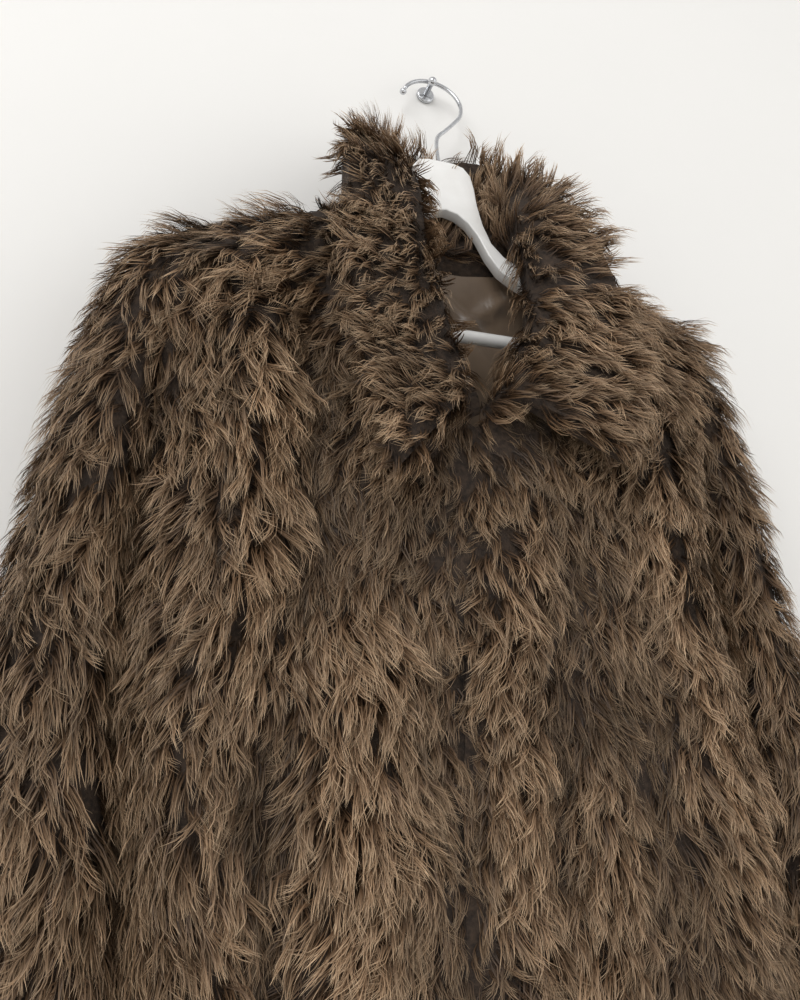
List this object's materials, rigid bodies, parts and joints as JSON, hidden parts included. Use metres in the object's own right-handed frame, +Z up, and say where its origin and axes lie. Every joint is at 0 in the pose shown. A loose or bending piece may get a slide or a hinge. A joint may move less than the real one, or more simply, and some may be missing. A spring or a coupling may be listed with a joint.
{
  "type": "faux fur jacket on a hanger on a wall hook",
  "caption": "Long-pile faux fur jacket with a wide notchless collar and flared sleeves, hanging open-necked on a painted wooden hanger from a small wall hook.",
  "frame": {"origin": "centre of the wall hook's back face, on the wall", "axes": "+X to the right of a person facing the jacket, +Y into the wall, +Z up"},
  "size_m": [0.6977, 0.1605, 0.8174],
  "materials": {
    "fur": "long taupe-brown pile, darker at the roots and paler at the tips",
    "lining": "taupe satin",
    "hanger_paint": "white gloss paint on wood",
    "chrome": "polished"
  },
  "bodies": {
    "root": {"back": "fur", "front_right": "fur", "front_left": "fur", "sleeve_right": "fur", "sleeve_left": "fur", "upper_collar": "fur", "under_collar": "fur", "lining_back": "lining", "hanger_body": "hanger_paint", "trouser_bar": "hanger_paint", "hanger_hook": "chrome", "hook_ball": "chrome", "wall_plate": "chrome", "wall_prong": "chrome"}
  },
  "joints": []
}
